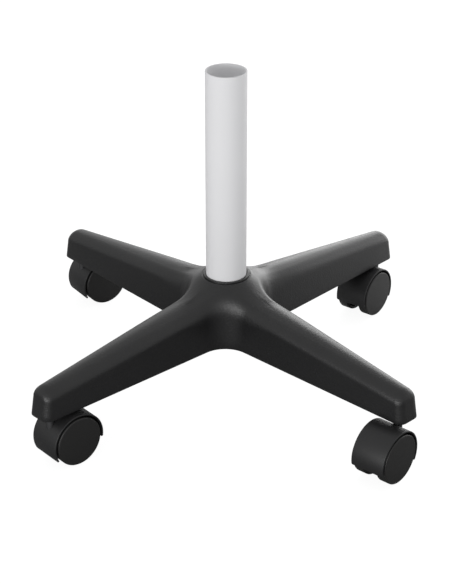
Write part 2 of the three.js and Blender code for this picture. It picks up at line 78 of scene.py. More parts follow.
def joint_of(name):
    """A joint of the packed record by its name."""
    joints = frame["record"]["behaviour"]["joints"]
    return next(joint for joint in joints if joint["name"] == name)


# ---------------- settings


def setting(kind, **fixed):
    """A function that makes settings of one kind."""

    def make(name, default, description):
        return kind(name=name, default=default, description=description, **fixed)

    return make


length = setting(FloatProperty, unit="LENGTH", precision=5)
colour = setting(FloatVectorProperty, subtype="COLOR", size=3, min=0, max=1)
share = setting(FloatProperty, subtype="FACTOR", min=0, max=1)
angle = setting(FloatProperty, subtype="ANGLE")
plain = setting(FloatProperty)
count = setting(IntProperty, min=1)
facet_count = setting(IntProperty, min=12)


class BaseSettings(bpy.types.PropertyGroup):
    """Sizes of the moulded base."""

    reach: length("Leg reach", node_high("base").x, "From the column's axis to a leg's tip")
    edge_z: length("Lower edge", node_low("base").z, "Height of the moulding's lower edge")
    root_half: length("Root half width", 0.0244, "Half width of a leg at the column's axis")
    tip_half: length("Tip half width", 0.0138, "Half width of a leg at its reach")
    corner_r: length("Tip corner radius", 0.0082, "Upright corner of a leg's tip")
    fillet_r: length("Fillet radius", 0.027, "Round between two legs")
    root_z: length("Root height", 0.109, "Height of the legs' top at the column's axis")
    tip_z: length("Tip height", 0.0852, "Height of the legs' top at their reach")
    draft: length("Wall draft", 0.001, "How far the walls lean in")
    rake: length("Tip rake", 0.002, "How much further the tip's end leans in")
    shoulder_r: length("Shoulder radius", 0.010, "Round from the walls to the top")
    edge_r: length("Edge radius", 0.0008, "Round on the lower edge")
    crown: plain("Crown", 0.085, "Swell of the legs' top, as a share of their half width")
    tip_lift: length("Tip lift", 0.0012, "How far that swell is raised at the tips")
    root_lift: length("Root lift", 0.0034, "How far that swell is raised at the column's axis")
    wall: length("Shell wall", 0.003, "Thickness of the moulding")
    neck_rise: length("Neck rise", 0.0125, "Height of the neck above the legs' root")
    neck_land: length("Neck land", 0.001, "Flat ring round the raised lip")
    neck_slope: plain("Neck slope", 0.74, "Fall of the neck's cone for each unit outwards")
    neck_round: length("Neck edge", 0.0012, "Soft start of that cone at the flat ring")
    blend: length("Neck blend", 0.011, "Softness of the line where the neck meets the legs")
    hub_r: length("Hub radius", 0.046, "Radius within which the shoulders are taller")
    hub_drop: share("Hub shoulders", 0.9, "Share by which the shoulders are taller there")
    socket_r: length("Socket radius", 0.0208, "Bore that takes the column")
    socket_wall: length("Socket wall", 0.0032, "Wall of that bore")
    socket_floor_z: length("Socket floor", 0.068, "Height of the floor that the column stands on")
    floor_thickness: length("Floor thickness", 0.006, "Thickness of that floor")
    bolt_hole_r: length("Bolt hole radius", 0.0053, "Hole in the floor")
    lip_width: length("Lip width", 0.0028, "Raised lip round the column")
    lip_height: length("Lip height", 0.0015, "Height of the lip above the neck")
    rib: length("Rib thickness", 0.0026, "Webs under the moulding")
    rib_recess: length("Rib recess", 0.009, "Height of the webs' feet above the lower edge")
    cross_ribs: count("Cross ribs", 3, "Cross webs in each leg")
    boss_r: length("Castor boss radius", 0.0099, "Boss that takes a castor's sleeve")
    pocket_r: length("Castor pocket radius", 0.0073, "Pocket in the boss")


class ColumnSettings(bpy.types.PropertyGroup):
    """Sizes of the column and its clamp."""

    outer_r: length("Column radius", node_high("column_tube").x, "Outside of the tube")
    wall: length("Column wall", 0.0015, "Wall of the tube")
    edge: length("Cut edge", 0.0002, "Broken edge on the cut ends of the tube")
    bolt_flats: length("Bolt head", 0.017, "Across the flats of the bolt's head")
    bolt_r: length("Bolt radius", 0.005, "Shank of the bolt")
    bolt_head: length("Bolt head height", 0.0065, "Height of the bolt's head")
    bolt_chamfer: length("Bolt chamfer", 0.0011, "Turned corners of the head")
    thread_pitch: length("Thread pitch", 0.0015, "Pitch of the threads")
    bolt_gap: length("Bolt gap", 0.0003, "Clearance round the bolt in the plug and the washers")
    facets: facet_count("Facets", 96, "Facets round a full turn")


class CastorSettings(bpy.types.PropertyGroup):
    """Sizes of one castor."""

    wheel_r: length("Wheel radius", 0.025, "Radius of the tread")
    wheel_outer: length("Wheel outer face", 0.0193, "Outer face from the castor's middle")
    wheel_inner: length("Wheel inner face", 0.0078, "Inner face from the castor's middle")
    wheel_edge: length("Wheel edge radius", 0.0012, "Round on the tread's outer edge")
    wheel_dome: length("Wheel dome", 0.0005, "Rise of the outer face in its middle")
    wheel_rim: length("Wheel rim", 0.0028, "Thickness of the wheel's rim")
    wheel_face: length("Wheel face", 0.0032, "Thickness of the wheel's face")
    wheel_hub: length("Wheel hub radius", 0.006, "Hub that runs on the axle")
    bore_r: length("Wheel bore", 0.0033, "Bore of the hub")
    bore_end: length("Wheel bore end", 0.0153, "End of the bore from the castor's middle")
    spoke: length("Spoke thickness", 0.0018, "Thickness of the webs inside the wheel")
    spokes: count("Spokes", 5, "Webs inside the wheel")
    hood_outer: length("Hood radius", 0.0287, "Outside of the hood")
    hood_wall: length("Hood wall", 0.0015, "Thickness of the hood")
    hood_half: length("Hood half width", 0.0181, "Half width of the hood")
    hood_edge: length("Hood edge radius", 0.0006, "Round on the hood's side edges")
    hood_corner: length("Hood corner radius", 0.0009, "Rounded corners of the hood's two lips")
    hood_web: length("Hood web", 0.0036, "Web between the wheels")
    hood_core: length("Hood core", 0.0072, "Half width of the bosses in the hood")
    lead: angle("Leading lip", math.radians(28), "Lip below the axle on the stem's side")
    trail: angle("Trailing lip", math.radians(12), "Lip below the axle on the far side")
    stem_r: length("Stem radius", 0.004, "Journal and shank of the stem")
    shoulder_r: length("Stem shoulder", 0.0044, "Part of the stem between hood and leg")
    stem_boss_r: length("Stem boss radius", 0.0068, "Boss in the hood")
    stem_boss_z: length("Stem boss foot", 0.027, "Height of that boss's foot")
    sleeve_r: length("Sleeve radius", 0.007, "Outside of the nylon sleeve")
    flange: length("Sleeve flange", 0.0013, "Thickness of the sleeve's flange")
    axle_r: length("Axle radius", 0.003, "Radius of the axle")
    axle_half: length("Axle half length", 0.015, "Half the length of the axle")
    axle_boss_r: length("Axle boss radius", 0.0065, "Boss round the axle")
    groove: length("Groove depth", 0.0011, "Grooves for the spring rings")
    gap: length("Seat gap", 0.0003, "Clearance between neighbouring pieces")
    facets: facet_count("Facets", 72, "Facets round a full turn of a wheel")
    small_facets: facet_count("Small facets", 40, "Facets round a full turn of the small pieces")


class FinishSettings(bpy.types.PropertyGroup):
    """Colours and roughness of the finishes."""

    base: colour("Base moulding", (0.0068, 0.0068, 0.0073), "Black moulding of the base")
    base_rough: share("Base roughness", 0.39, "Roughness of the base")
    hood: colour("Hood moulding", (0.0075, 0.0075, 0.008), "Black moulding of the hoods")
    wheel: colour("Wheel moulding", (0.0088, 0.0086, 0.0084), "Black moulding of the wheels")
    coat: colour("Column coat", (0.76, 0.76, 0.773), "Pale coat of the column")
    grain: length("Grain size", 0.0015, "Size of the moulded grain")


class StageSettings(bpy.types.PropertyGroup):
    """The camera, the floor and the room's light."""

    azimuth: angle("Azimuth", math.radians(45.8022), "Camera's turn round the column")
    elevation: angle("Elevation", math.radians(28.1055), "Camera's height above the horizon")
    roll: angle("Roll", math.radians(-0.0202), "Camera's roll")
    distance: length("Distance", 1.6625367, "From the camera to its target")
    aside: length("Aside", -0.0002029, "Target beside the column's axis")
    height: length("Height", 0.1001746, "Target above the floor")
    focal: plain("Focal length", 1622.7063, "Focal length in the picture's pixels")
    floor: colour("Floor", (0.25, 0.25, 0.25), "Colour of the floor")
    backdrop: colour("Backdrop", (0.8, 0.8, 0.8), "Colour of the floor behind the stand")
    world: share("World", 0.67, "Strength of the room's light")


GROUPS = {
    "stand_base": BaseSettings,
    "stand_column": ColumnSettings,
    "stand_castor": CastorSettings,
    "stand_finish": FinishSettings,
    "stand_stage": StageSettings,
}


# ---------------- materials


class Value:
    """A shader socket that carries a number, with arithmetic that adds Math nodes."""

    def __init__(self, nodes, socket):
        self.nodes = nodes
        self.socket = socket

    def math(self, operation, *others, clamp=False):
        settings = {"operation": operation, "use_clamp": clamp}
        return self.nodes.add("ShaderNodeMath", settings, self, *others)

    def __add__(self, other):
        return self.math("ADD", other)

    __radd__ = __add__

    def __mul__(self, other):
        return self.math("MULTIPLY", other)

    __rmul__ = __mul__

    def __sub__(self, other):
        return self.math("SUBTRACT", other)

    def __rsub__(self, other):
        return self.nodes.add("ShaderNodeMath", {"operation": "SUBTRACT"}, other, self)


class Nodes:
    """Adds nodes to one material or world."""

    def __init__(self, tree):
        self.tree = tree
        tree.nodes.clear()

    def add(self, kind, settings, *inputs, output=0, **named):
        """A new node with its settings and what goes into its sockets, by place or by name."""
        node = self.tree.nodes.new(kind)
        for key, setting in settings.items():
            setattr(node, key, setting)
        for place, given in [*enumerate(inputs), *named.items()]:
            key = place if isinstance(place, int) else place.replace("_", " ")
            if isinstance(given, Value):
                self.tree.links.new(given.socket, node.inputs[key])
            elif given is not None:
                node.inputs[key].default_value = given
        return Value(self, node.outputs[output]) if node.outputs else None


def new_material(name):
    """An empty node material."""
    material = bpy.data.materials.new(name)
    material.use_nodes = True
    return material, Nodes(material.node_tree)


def object_place(nodes):
    """The place on the object, in metres."""
    return nodes.add("ShaderNodeTexCoord", {}, output=3)


def noise(nodes, where, scale, detail=3.0, roughness=0.5):
    """A noise factor at a scale given in cycles per metre."""
    sockets = {"Vector": where, "Scale": scale, "Detail": detail, "Roughness": roughness}
    return nodes.add("ShaderNodeTexNoise", {}, **sockets)


def colour_between(nodes, factor, low, high):
    """A blend of two colours, each of them written or another node's."""
    unused = (None,) * 5
    ends = (given if isinstance(given, Value) else (*given, 1) for given in (low, high))
    return nodes.add("ShaderNodeMix", {"data_type": "RGBA"}, factor, *unused, *ends, output=2)


def shade(value, factor):
    """A written colour made lighter or darker."""
    return tuple(min(1.0, channel * factor) for channel in value)


def varied(nodes, factor, value, dark, light):
    """A written colour that varies from a darker to a lighter shade of itself."""
    return colour_between(nodes, factor, shade(value, dark), shade(value, light))


def surface(nodes, **sockets):
    """The shader that ends a material."""
    shader = nodes.add("ShaderNodeBsdfPrincipled", {}, **sockets)
    nodes.add("ShaderNodeOutputMaterial", {}, Surface=shader)


DUST = (0.16, 0.16, 0.158)
# turned marks change quickly along the Z axis and slowly round it
TURNED_SCALE = (60.0, 60.0, 900.0)


def moulded_plastic(nodes, where, colour_value, roughness, grain, depth, dust):
    """Black moulded plastic: a fine grain, a slightly uneven gloss and a trace of dust on top."""
    clouds = noise(nodes, where, scale=14.0, detail=4.0)
    patches = noise(nodes, where, scale=55.0)
    tint = varied(nodes, clouds, colour_value, 0.9, 1.12)
    normal = nodes.add("ShaderNodeNewGeometry", {}, output=1)
    upwards = nodes.add("ShaderNodeSeparateXYZ", {}, normal, output=2)
    settled = (upwards * patches).math("MULTIPLY", dust, clamp=True)
    dusty = colour_between(nodes, settled, tint, DUST)
    fine = noise(nodes, where, scale=1 / grain, detail=2.0, roughness=0.6)
    cells = nodes.add("ShaderNodeTexVoronoi", {}, Vector=where, Scale=0.8 / grain)
    height = fine * 0.6 + cells * 0.4
    bump = nodes.add("ShaderNodeBump", {}, Strength=depth, Distance=grain * 0.45, Height=height)
    gloss = patches * 0.07 + clouds * 0.05 + (roughness - 0.06)
    surface(nodes, Base_Color=dusty, Roughness=gloss, Normal=bump, IOR=1.5)


def coated_tube(nodes, where, colour_value):
    """A pale coat on steel: a faint orange peel, even colour and a soft gloss."""
    clouds = noise(nodes, where, scale=9.0)
    peel = noise(nodes, where, scale=420.0, detail=2.0)
    specks = noise(nodes, where, scale=1600.0, detail=1.0)
    tint = varied(nodes, clouds, colour_value, 0.97, 1.03)
    height = peel * 0.8 + specks * 0.2
    bump = nodes.add("ShaderNodeBump", {}, Strength=0.12, Distance=0.0003, Height=height)
    gloss = clouds * 0.06 + specks * 0.04 + 0.5
    surface(nodes, Base_Color=tint, Roughness=gloss, Normal=bump, IOR=1.2)


def worked_steel(nodes, where, colour_value, roughness, scratches):
    """Plated or blackened steel: turned marks, a patchy gloss and a little wear."""
    along = nodes.add("ShaderNodeMapping", {}, Vector=where, Scale=TURNED_SCALE)
    turned = noise(nodes, along, scale=1.0)
    patches = noise(nodes, where, scale=120.0, detail=4.0)
    tint = varied(nodes, patches, colour_value, 0.82, 1.15)
    bump = nodes.add("ShaderNodeBump", {}, Strength=scratches, Distance=0.0001, Height=turned)
    gloss = patches * 0.16 + turned * 0.08 + (roughness - 0.1)
    surface(nodes, Base_Color=tint, Roughness=gloss, Normal=bump, Metallic=1.0)


def finish_named(slot):
    """The material for one of the record's slots, made when it is first asked for."""
    name = slot + "_finish"
    if name in bpy.data.materials:
        return bpy.data.materials[name]
    finish = bpy.context.scene.stand_finish
    # colour, roughness, size of the grain, depth of the grain, dust
    plastics = {
        "base_moulding": (finish.base, finish.base_rough, finish.grain, 0.35, 0.04),
        "hood_moulding": (finish.hood, 0.5, finish.grain * 0.6, 0.05, 0.02),
        "wheel_moulding": (finish.wheel, 0.5, finish.grain * 0.5, 0.15, 0.02),
        "sleeve_nylon": ((0.045, 0.045, 0.047), 0.5, finish.grain, 0.1, 0.0),
    }
    # colour, roughness, depth of the turned marks
    steels = {
        "blacked_steel": ((0.09, 0.09, 0.093), 0.5, 0.15),
        "zinc_steel": ((0.55, 0.56, 0.58), 0.34, 0.2),
        "spring_steel": ((0.25, 0.25, 0.27), 0.35, 0.2),
    }
    material, nodes = new_material(name)
    where = object_place(nodes)
    if slot in plastics:
        moulded_plastic(nodes, where, *plastics[slot])
    elif slot in steels:
        worked_steel(nodes, where, *steels[slot])
    elif slot == "column_coat":
        coated_tube(nodes, where, finish.coat)
    else:
        raise ValueError("there is no finish for the slot " + slot)
    return material


# ---------------- mesh tools


SAME_PLACE = 1e-7
LEVEL = 1e-6
ON_AXIS = {"cent": (0, 0, 0), "dvec": (0, 0, 0)}
# facets round a full turn of the socket, and of what is out of sight
SOCKET_FACETS = 128
HIDDEN_FACETS = 32


def finish_piece(name, bm, slot, body, *nodes, sharp_deg=38.0):
    """Turns a bmesh into a piece that rides on a body and stands for the given CAD nodes."""
    for face in bm.faces:
        face.smooth = True
    limit = math.radians(sharp_deg)
    for edge in bm.edges:
        edge.smooth = len(edge.link_faces) != 2 or edge.calc_face_angle(0) < limit
    mesh = bpy.data.meshes.new(name)
    bm.to_mesh(mesh)
    bm.free()
    piece = bpy.data.objects.new(name, mesh)
    bpy.context.scene.collection.objects.link(piece)
    mesh.materials.append(finish_named(slot))
    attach(piece, body)
    if nodes:
        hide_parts(*nodes)


def closed_normals(bm):
    """Merges doubles and points every face outwards."""
    bmesh.ops.remove_doubles(bm, verts=bm.verts, dist=SAME_PLACE)
    bmesh.ops.recalc_face_normals(bm, faces=bm.faces)


def verts_of(items):
    """The vertices among what an operator made."""
    return [item for item in items if isinstance(item, bmesh.types.BMVert)]


def chain(bm, points, closed):
    """Edges through a few points in the XZ plane, given as (radius, height)."""
    verts = [bm.verts.new((radius, 0, height)) for radius, height in points]
    edges = [bm.edges.new(pair) for pair in zip(verts, verts[1:])]
    if closed:
        edges.append(bm.edges.new((verts[-1], verts[0])))
    return verts + edges


def turn_profile(bm, points, steps, closed=False):
    """Spins a profile of (radius, height) points once round the Z axis."""
    before = set(bm.verts)
    geom = chain(bm, points, closed)
    bmesh.ops.spin(
        bm, geom=geom, axis=(0, 0, 1), angle=2 * math.pi, steps=steps, use_merge=True, **ON_AXIS
    )
    made = [vert for vert in bm.verts if vert not in before]
    bmesh.ops.remove_doubles(bm, verts=made, dist=SAME_PLACE)
    return [vert for vert in bm.verts if vert not in before]


def turned_solid(points, steps, closed=False):
    """A solid of its own, spun from a profile."""
    bm = bmesh.new()
    turn_profile(bm, points, steps, closed)
    closed_normals(bm)
    return bm


def rotate(bm, verts, radians, axis):
    """Turns vertices about an axis through the origin."""
    turn = Matrix.Rotation(radians, 3, axis)
    bmesh.ops.rotate(bm, cent=(0, 0, 0), matrix=turn, verts=verts)


def rounded(points, radii, segments=4):
    """A profile whose corners are rounded, from points and one radius for each."""
    smooth = []
    for index, (point, radius) in enumerate(zip(points, radii)):
        here = Vector(point)
        if radius == 0:
            smooth.append(tuple(here))
            continue
        back = (Vector(points[index - 1]) - here).normalized()
        ahead = (Vector(points[(index + 1) % len(points)]) - here).normalized()
        half = back.angle(ahead) / 2
        reach = radius / math.tan(half)
        centre = here + (back + ahead).normalized() * (radius / math.sin(half))
        start = here + back * reach - centre
        sweep = math.pi - 2 * half
        sign = 1 if back.cross(ahead) < 0 else -1
        for step in range(segments + 1):
            turned = Matrix.Rotation(sign * sweep * step / segments, 2) @ start
            smooth.append(tuple(centre + turned))
    return smooth


def ring_section(inner, outer, low, high, radii, segments=2):
    """The section of a ring or a rod, its corners rounded, from the inner low corner on."""
    corners = [(inner, low), (outer, low), (outer, high), (inner, high)]
    return rounded(corners, radii, segments)


def bar(bm, low, high):
    """A box from its low corner to its high corner."""
    size = Vector(high) - Vector(low)
    middle = (Vector(high) + Vector(low)) / 2
    matrix = Matrix.Translation(middle) @ Matrix.Diagonal((*size, 1))
    return bmesh.ops.create_cube(bm, size=1, matrix=matrix)["verts"]


def round_edges(bm, edges, offset, segments):
    """Rounds edges."""
    bmesh.ops.bevel(
        bm, geom=edges, offset=offset, affect="EDGES", segments=segments, profile=0.5, material=-1
    )


# ---------------- base moulding


def arc_points(cx, cy, radius, start, end, steps):
    """Points of an arc, both ends included."""
    angles = [start + (end - start) * step / steps for step in range(steps + 1)]
    return [(cx + radius * math.cos(a), cy + radius * math.sin(a)) for a in angles]


# steps along half a leg's outline; those of the side are crowded at the fillet
FILLET_STEPS = 12
SIDE_STEPS = 10
SIDE_CROWDING = 1.5
CORNER_STEPS = 8
END_STEPS = 3
# steps from the lower edge up over the wall and the shoulder to the neck
EDGE_STEPS = 3
WALL_PARTS = (0.25, 0.5, 0.75)
SHOULDER_STEPS = 9
TOP_STEPS = 22
NECK_STEPS = 8


def half_outline(base, inset, rake):
    """Half of one leg's outline, from the diagonal between two legs to the middle of the tip."""
    taper = (base.root_half - base.tip_half) / base.reach
    run = math.hypot(1, taper)
    lean = math.atan(taper)
    middle = (base.fillet_r * run + base.root_half) / (1 + taper)
    pull, least = 0.6, 0.0022
    corner_r = max(base.corner_r - pull * inset, least)
    corner_x = base.reach - rake - inset - corner_r
    corner_y = base.root_half - taper * corner_x - (inset + corner_r) * run
    fillet = arc_points(
        middle, middle, base.fillet_r + inset, 1.25 * math.pi, 1.5 * math.pi - lean, FILLET_STEPS
    )
    corner = arc_points(corner_x, corner_y, corner_r, math.pi / 2 - lean, 0, CORNER_STEPS)
    start, end = Vector(fillet[-1]), Vector(corner[0])
    side_parts = [(step / SIDE_STEPS) ** SIDE_CROWDING for step in range(1, SIDE_STEPS)]
    side = [tuple(start.lerp(end, part)) for part in side_parts]
    last = Vector(corner[-1])
    across = [(last.x, last.y * (1 - step / END_STEPS)) for step in range(1, END_STEPS + 1)]
    return fillet + side + corner + across


def round_all_legs(half):
    """The whole outline from half a leg's, as (leg, x, y) in each leg's own directions."""
    leg = [(x, -y) for x, y in half[:-1]] + [(x, y) for x, y in reversed(half[1:])]
    return [(number, x, y) for number in range(LEG_COUNT) for x, y in leg]


def place_on_leg(number, x, y, z):
    """A point in a leg's own directions, turned to that leg."""
    return Matrix.Rotation(number * 2 * math.pi / LEG_COUNT, 3, "Z") @ Vector((x, y, z))


def top_z(base, x):
    """Height of a leg's top."""
    return base.root_z - (base.root_z - base.tip_z) / base.reach * x


def crown(base, x, y):
    """How far the legs' top swells in its middle and falls away towards its sides."""
    half = base.root_half - (base.root_half - base.tip_half) / base.reach * x - base.draft
    swell = math.cos(math.pi * min(abs(y) / half, 1))
    more_lift = (base.root_lift - base.tip_lift) * (1 - x / base.reach)
    return base.crown * half * swell + base.tip_lift + more_lift


def neck_land_r(base):
    """Radius where the flat ring round the lip ends and the neck starts to fall."""
    return base.socket_r + base.socket_wall + base.neck_land


def neck_z(base, radius):
    """Height of the neck's cone at a radius, with a soft start at the flat ring."""
    out = radius - neck_land_r(base)
    start = base.neck_round
    fall = out * out / (2 * start) if out < start else out - start / 2
    return base.root_z + base.neck_rise - base.neck_slope * max(fall, 0)


def smooth_step(part):
    """A soft change from 0 to 1."""
    part = min(max(part, 0), 1)
    return part * part * (3 - 2 * part)


def soft_max(first, second, width):
    """The larger of two heights, with a soft change from one to the other."""
    overlap = max(width - abs(first - second), 0) / width
    return max(first, second) + overlap * overlap * width / 4


def surface_z(base, x, y, drop=0.0):
    """Height of the crowned legs, or of the neck if that is higher, less a shoulder's drop."""
    radius = math.hypot(x, y)
    near = 1 - smooth_step((radius - base.hub_r) / base.hub_r)
    top = soft_max(top_z(base, x) + crown(base, x, y), neck_z(base, radius), base.blend)
    return top - drop * (1 + base.hub_drop * near)


def crowded(part, span):
    """A part of a way, from 0 to 1, with its steps crowded at both ends where the way is long."""
    most, least, long_way = 2.3, 0.02, 0.06
    force = most * min(1.0, least + span / long_way)
    return 0.5 + 0.5 * math.tanh(force * (2 * part - 1)) / math.tanh(force)


def drawn_to(x, y, radius):
    """A point moved along its own direction to a radius."""
    far = math.hypot(x, y)
    return x / far * radius, y / far * radius


def on_top(base, number, x, y, radius):
    """The place on the upper surface at a radius, in the direction of a leg's point."""
    x, y = drawn_to(x, y, radius)
    return place_on_leg(number, x, y, surface_z(base, x, y))


def wall_rings(base):
    """The rings up the lower edge, the wall and the shoulder."""
    rings = []
    for step in range(EDGE_STEPS + 1):
        turn = math.pi / 2 * step / EDGE_STEPS
        z = base.edge_z + base.edge_r * (1 - math.cos(turn))
        outline = round_all_legs(half_outline(base, base.edge_r * (1 - math.sin(turn)), 0))
        rings.append([place_on_leg(number, x, y, z) for number, x, y in outline])
    shoulder = []
    for step in range(SHOULDER_STEPS + 1):
        turn = math.pi / 2 * step / SHOULDER_STEPS
        inset = base.draft + base.shoulder_r * (1 - math.cos(turn))
        drop = base.shoulder_r * (1 - math.sin(turn))
        outline = round_all_legs(half_outline(base, inset, base.rake))
        shoulder.append(
            [place_on_leg(number, x, y, surface_z(base, x, y, drop)) for number, x, y in outline]
        )
    pairs = list(zip(rings[-1], shoulder[0]))
    rings += [[low.lerp(high, part) for low, high in pairs] for part in WALL_PARTS]
    return rings + shoulder


def base_rings(base):
    """The rings of the moulding's outside, from the lower edge up to the land round the lip."""
    rings = wall_rings(base)
    cap = round_all_legs(half_outline(base, base.draft + base.shoulder_r, base.rake))
    land_r = neck_land_r(base)
    meet = land_r + base.neck_round * 2
    for step in range(1, TOP_STEPS + 1):
        ring = []
        for number, x, y in cap:
            far = math.hypot(x, y)
            radius = far - (far - meet) * crowded(step / TOP_STEPS, far - meet)
            ring.append(on_top(base, number, x, y, radius))
        rings.append(ring)
    for step in range(1, NECK_STEPS + 1):
        radius = meet + (land_r - meet) * step / NECK_STEPS
        rings.append([on_top(base, number, x, y, radius) for number, x, y in cap])
    land_z = base.root_z + base.neck_rise
    land_start, under_lip = 0.0003, 0.0006
    for radius in (land_r - land_start, base.socket_r + base.socket_wall - under_lip):
        rings.append(
            [place_on_leg(number, *drawn_to(x, y, radius), land_z) for number, x, y in cap]
        )
    return rings


def grow_ring(bm, edges, tag, points):
    """Extrudes a ring of edges and moves each new vertex to its place in the next ring."""
    made = bmesh.ops.extrude_edge_only(bm, edges=edges)["geom"]
    verts = set(verts_of(made))
    for vert in verts:
        vert.co = points[vert[tag]]
    rim = [item for item in made if isinstance(item, bmesh.types.BMEdge)]
    return [edge for edge in rim if set(edge.verts) <= verts]


def base_shell(base):
    """The moulding's skin with its thickness."""
    rings = base_rings(base)
    bm = bmesh.new()
    tag = bm.verts.layers.int.new("place")
    circle = bmesh.ops.create_circle(bm, cap_ends=False, radius=1, segments=len(rings[0]))["verts"]
    for index, vert in enumerate(circle):
        vert[tag] = index
        vert.co = rings[0][index]
    edges = list(bm.edges)
    for points in rings[1:]:
        edges = grow_ring(bm, edges, tag, points)
    bmesh.ops.recalc_face_normals(bm, faces=bm.faces)
    probe = max(bm.faces, key=lambda face: face.calc_center_median().z)
    if probe.normal.z < 0:
        bmesh.ops.reverse_faces(bm, faces=bm.faces)
    bmesh.ops.solidify(bm, geom=bm.faces, thickness=base.wall)
    return bm


def socket_profile(base):
    """The socket, its floor and the raised lip, as (radius, height)."""
    top = base.root_z + base.neck_rise
    outer = base.socket_r + base.socket_wall
    foot = base.socket_floor_z - base.floor_thickness
    lip_r = base.socket_r + base.lip_width
    sunk = 0.0004
    points = [
        (base.bolt_hole_r, foot), (outer, foot), (outer, top - sunk), (lip_r, top - sunk),
        (lip_r, top + base.lip_height), (base.socket_r, top + base.lip_height),
        (base.socket_r, base.socket_floor_z), (base.bolt_hole_r, base.socket_floor_z),
    ]
    return rounded(points, (0.0003, 0.0008, 0.0002, 0.0001, 0.0005, 0.0005, 0.0004, 0.0003))


def leg_webs(base, stem_x):
    """The webs and the castor's boss inside the leg along +X."""
    bm = bmesh.new()
    foot = base.edge_z + base.rib_recess
    half = base.rib / 2
    inner = base.wall / 2
    into_wall = 0.001
    bar(bm, (base.socket_r + into_wall, -half, foot), (stem_x, half, base.root_z))
    for vert in bm.verts:
        if vert.co.z > foot + LEVEL:
            vert.co.z = top_z(base, vert.co.x) - inner
    taper = (base.root_half - base.tip_half) / base.reach
    first = base.socket_r + base.socket_wall + base.fillet_r
    pitch = (stem_x - base.boss_r - first) / base.cross_ribs
    for number in range(base.cross_ribs):
        x = first + pitch * number
        reach = base.root_half - taper * x - base.draft - inner
        roof = top_z(base, x) - inner
        verts = bar(bm, (x - half, -reach, foot), (x + half, reach, roof))
        sides = []
        for side in (-reach, reach):
            upper = {v for v in verts if v.co.z > roof - LEVEL and abs(v.co.y - side) < LEVEL}
            sides += [edge for edge in bm.edges if set(edge.verts) <= upper]
        round_edges(bm, sides, base.shoulder_r - inner, 5)
    recess, gap = 0.0016, 0.0003
    mouth = (base.pocket_r, base.edge_z + recess)
    roof = top_z(base, stem_x) - inner
    pocket_roof = node_high("castor_1_sleeve").z + gap
    boss = [
        mouth, (base.boss_r, mouth[1]), (base.boss_r, roof - 0.6 * base.shoulder_r),
        (0.65 * base.boss_r, roof - 0.2 * base.shoulder_r), (0, roof),
    ]
    pocket = [mouth, (base.pocket_r, pocket_roof), (0, pocket_roof)]
    for points in (boss, pocket):
        made = turn_profile(bm, points, HIDDEN_FACETS)
        bmesh.ops.translate(bm, verts=made, vec=(stem_x, 0, 0))
    closed_normals(bm)
    return bm


class STAND_OT_base(bpy.types.Operator):
    """Make the moulded base with its socket, lip and webs"""

    bl_idname = "stand.base"
    bl_label = "Moulded base"

    def execute(self, context):
        base = context.scene.stand_base
        finish_piece("base_shell", base_shell(base), "base_moulding", "stand", "base")
        bm = turned_solid(socket_profile(base), SOCKET_FACETS, closed=True)
        finish_piece("base_socket", bm, "base_moulding", "stand")
        stem_x = joint_of("castor_1_swivel_turn")["pos_m"][0]
        bm = leg_webs(base, stem_x)
        leg = [*bm.verts, *bm.edges, *bm.faces]
        for number in range(1, LEG_COUNT):
            copied = bmesh.ops.duplicate(bm, geom=leg)["geom"]
            rotate(bm, verts_of(copied), number * 2 * math.pi / LEG_COUNT, "Z")
        finish_piece("base_webs", bm, "base_moulding", "stand")
        return {"FINISHED"}


# ---------------- column and clamp


class STAND_OT_column(bpy.types.Operator):
    """Make the column tube and the plug in its foot"""

    bl_idname = "stand.column"
    bl_label = "Column tube"

    def execute(self, context):
        column = context.scene.stand_column
        low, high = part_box("column_tube")
        inner = column.outer_r - column.wall
        points = ring_section(inner, column.outer_r, low.z, high.z, (column.edge,) * 4)
        bm = turned_solid(points, column.facets, closed=True)
        finish_piece("column_tube_coated", bm, "column_coat", "stand", "column_tube")
        low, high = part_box("column_plug")
        bore = column.bolt_r + column.bolt_gap
        edges = (0.0005, 0.0005, 0.0015, 0.0008)
        points = ring_section(bore, high.x, low.z, high.z, edges, 3)
        bm = turned_solid(points, column.facets, closed=True)
        finish_piece("column_plug_turned", bm, "zinc_steel", "stand", "column_plug")
        return {"FINISHED"}


def hex_head(bm, column, low, high):
    """A bolt's head, its outer corners turned off."""
    corner = column.bolt_flats / 2 / math.cos(math.pi / 6)
    head = bmesh.ops.create_circle(bm, cap_ends=True, radius=corner, segments=6)["verts"]
    bmesh.ops.translate(bm, verts=head, vec=(0, 0, high))
    face = next(face for face in bm.faces if set(face.verts) == set(head))
    foot = verts_of(bmesh.ops.extrude_face_region(bm, geom=[face])["geom"])
    bmesh.ops.translate(bm, verts=foot, vec=(0, 0, low - high))
    foot_edges = [edge for edge in bm.edges if set(edge.verts) <= set(foot)]
    round_edges(bm, foot_edges, column.bolt_chamfer, 2)


def shank_points(column, low, high, plain_top):
    """The bolt's shank, plain at first and then threaded, as (radius, height)."""
    crest, pitch = column.bolt_r, column.thread_pitch
    root = crest - pitch * 0.4
    points = [(0, low), (crest, low), (crest, plain_top)]
    z, last_turn = plain_top, 0.0005
    while z + pitch < high - last_turn:
        points += [(root, z + pitch * 0.5), (crest, z + pitch)]
        z += pitch
    return points + [(root, high), (0, high)]


def split_ring(points, gap):
    """A ring spun from its section, with a gap given in radians on the +X side."""
    bm = bmesh.new()
    section = chain(bm, points, True)
    section.append(bm.faces.new(verts_of(section)))
    rotate(bm, bm.verts, gap / 2, "Z")
    sweep = 2 * math.pi - gap
    bmesh.ops.spin(bm, geom=section, axis=(0, 0, 1), angle=sweep, steps=64, **ON_AXIS)
    closed_normals(bm)
    return bm


